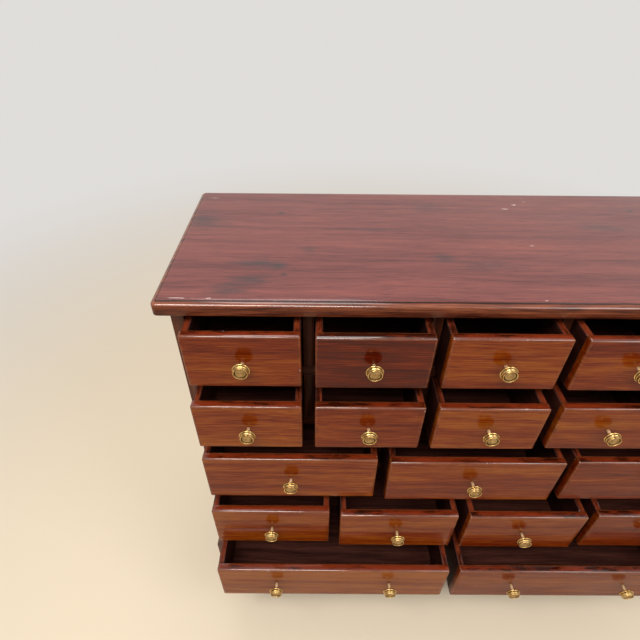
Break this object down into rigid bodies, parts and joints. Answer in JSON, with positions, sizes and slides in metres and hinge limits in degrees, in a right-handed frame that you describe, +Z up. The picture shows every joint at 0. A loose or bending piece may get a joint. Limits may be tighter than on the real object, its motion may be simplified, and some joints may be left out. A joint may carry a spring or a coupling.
{
  "type": "chest of small drawers",
  "caption": "Floor-standing wooden chest with five rows of small drawers, turned round knobs, a moulded top board and bracket feet.",
  "frame": {"origin": "on the floor, under the middle of the chest's outer box with the drawers pulled out as at rest", "axes": "+X to the right seen from the front, the drawers open towards -Y, +Z up"},
  "size_m": [1.104, 0.559, 0.916],
  "materials": {
    "carcass_wood": "dark red-brown stain under a glossy varnish",
    "drawer_wood": "red-brown stain under a glossy varnish on the front, thinner inside",
    "inner_wood": "stained, unpolished",
    "back_wood": "stained, matt",
    "knob_brass": "polished, slightly tarnished in the recess",
    "screw_steel": "dull"
  },
  "bodies": {
    "cabinet": {"top_board": "carcass_wood", "side_left": "carcass_wood", "side_right": "carcass_wood", "back_panel": "back_wood", "top_rails": "carcass_wood", "shelf_1": "carcass_wood", "shelf_2": "carcass_wood", "shelf_3": "carcass_wood", "shelf_4": "carcass_wood", "bottom_board": "carcass_wood", "dividers_row_1": "carcass_wood", "dividers_row_2": "carcass_wood", "dividers_row_3": "carcass_wood", "dividers_row_4": "carcass_wood", "dividers_row_5": "carcass_wood", "wood_screws": "screw_steel", "drawer_stops": "inner_wood", "base_frame": "carcass_wood", "foot_front_left": "carcass_wood", "foot_front_right": "carcass_wood", "foot_back_left": "carcass_wood", "foot_back_right": "carcass_wood"},
    "drawer_1_1_body": {"drawer_1_1": "drawer_wood", "knob_1_1": "knob_brass"},
    "drawer_1_2_body": {"drawer_1_2": "drawer_wood", "knob_1_2": "knob_brass"},
    "drawer_1_3_body": {"drawer_1_3": "drawer_wood", "knob_1_3": "knob_brass"},
    "drawer_1_4_body": {"drawer_1_4": "drawer_wood", "knob_1_4": "knob_brass"},
    "drawer_1_5_body": {"drawer_1_5": "drawer_wood", "knob_1_5": "knob_brass"},
    "drawer_2_1_body": {"drawer_2_1": "drawer_wood", "knob_2_1": "knob_brass"},
    "drawer_2_2_body": {"drawer_2_2": "drawer_wood", "knob_2_2": "knob_brass"},
    "drawer_2_3_body": {"drawer_2_3": "drawer_wood", "knob_2_3": "knob_brass"},
    "drawer_2_4_body": {"drawer_2_4": "drawer_wood", "knob_2_4": "knob_brass"},
    "drawer_2_5_body": {"drawer_2_5": "drawer_wood", "knob_2_5": "knob_brass"},
    "drawer_3_1_body": {"drawer_3_1": "drawer_wood", "knob_3_1": "knob_brass"},
    "drawer_3_2_body": {"drawer_3_2": "drawer_wood", "knob_3_2": "knob_brass"},
    "drawer_3_3_body": {"drawer_3_3": "drawer_wood", "knob_3_3": "knob_brass"},
    "drawer_4_1_body": {"drawer_4_1": "drawer_wood", "knob_4_1": "knob_brass"},
    "drawer_4_2_body": {"drawer_4_2": "drawer_wood", "knob_4_2": "knob_brass"},
    "drawer_4_3_body": {"drawer_4_3": "drawer_wood", "knob_4_3": "knob_brass"},
    "drawer_4_4_body": {"drawer_4_4": "drawer_wood", "knob_4_4": "knob_brass"},
    "drawer_5_1_body": {"drawer_5_1": "drawer_wood", "knob_5_1": "knob_brass"},
    "drawer_5_2_body": {"drawer_5_2": "drawer_wood", "knob_5_2": "knob_brass"}
  },
  "joints": [
    {"name": "drawer_1_1_slide", "type": "slide", "parent": "cabinet", "child": "drawer_1_1_body", "axis": [0, -1, 0], "range_m": [-0.05, 0.23]},
    {"name": "drawer_1_2_slide", "type": "slide", "parent": "cabinet", "child": "drawer_1_2_body", "axis": [0, -1, 0], "range_m": [-0.052, 0.228]},
    {"name": "drawer_1_3_slide", "type": "slide", "parent": "cabinet", "child": "drawer_1_3_body", "axis": [0, -1, 0], "range_m": [-0.052, 0.228]},
    {"name": "drawer_1_4_slide", "type": "slide", "parent": "cabinet", "child": "drawer_1_4_body", "axis": [0, -1, 0], "range_m": [-0.054, 0.226]},
    {"name": "drawer_1_5_slide", "type": "slide", "parent": "cabinet", "child": "drawer_1_5_body", "axis": [0, -1, 0], "range_m": [-0.051, 0.229]},
    {"name": "drawer_2_1_slide", "type": "slide", "parent": "cabinet", "child": "drawer_2_1_body", "axis": [0, -1, 0], "range_m": [-0.071, 0.209]},
    {"name": "drawer_2_2_slide", "type": "slide", "parent": "cabinet", "child": "drawer_2_2_body", "axis": [0, -1, 0], "range_m": [-0.071, 0.209]},
    {"name": "drawer_2_3_slide", "type": "slide", "parent": "cabinet", "child": "drawer_2_3_body", "axis": [0, -1, 0], "range_m": [-0.072, 0.208]},
    {"name": "drawer_2_4_slide", "type": "slide", "parent": "cabinet", "child": "drawer_2_4_body", "axis": [0, -1, 0], "range_m": [-0.07, 0.21]},
    {"name": "drawer_2_5_slide", "type": "slide", "parent": "cabinet", "child": "drawer_2_5_body", "axis": [0, -1, 0], "range_m": [-0.073, 0.207]},
    {"name": "drawer_3_1_slide", "type": "slide", "parent": "cabinet", "child": "drawer_3_1_body", "axis": [0, -1, 0], "range_m": [-0.079, 0.201]},
    {"name": "drawer_3_2_slide", "type": "slide", "parent": "cabinet", "child": "drawer_3_2_body", "axis": [0, -1, 0], "range_m": [-0.084, 0.196]},
    {"name": "drawer_3_3_slide", "type": "slide", "parent": "cabinet", "child": "drawer_3_3_body", "axis": [0, -1, 0], "range_m": [-0.081, 0.199]},
    {"name": "drawer_4_1_slide", "type": "slide", "parent": "cabinet", "child": "drawer_4_1_body", "axis": [0, -1, 0], "range_m": [-0.098, 0.182]},
    {"name": "drawer_4_2_slide", "type": "slide", "parent": "cabinet", "child": "drawer_4_2_body", "axis": [0, -1, 0], "range_m": [-0.105, 0.175]},
    {"name": "drawer_4_3_slide", "type": "slide", "parent": "cabinet", "child": "drawer_4_3_body", "axis": [0, -1, 0], "range_m": [-0.107, 0.173]},
    {"name": "drawer_4_4_slide", "type": "slide", "parent": "cabinet", "child": "drawer_4_4_body", "axis": [0, -1, 0], "range_m": [-0.103, 0.177]},
    {"name": "drawer_5_1_slide", "type": "slide", "parent": "cabinet", "child": "drawer_5_1_body", "axis": [0, -1, 0], "range_m": [-0.148, 0.132]},
    {"name": "drawer_5_2_slide", "type": "slide", "parent": "cabinet", "child": "drawer_5_2_body", "axis": [0, -1, 0], "range_m": [-0.148, 0.132]}
  ]
}
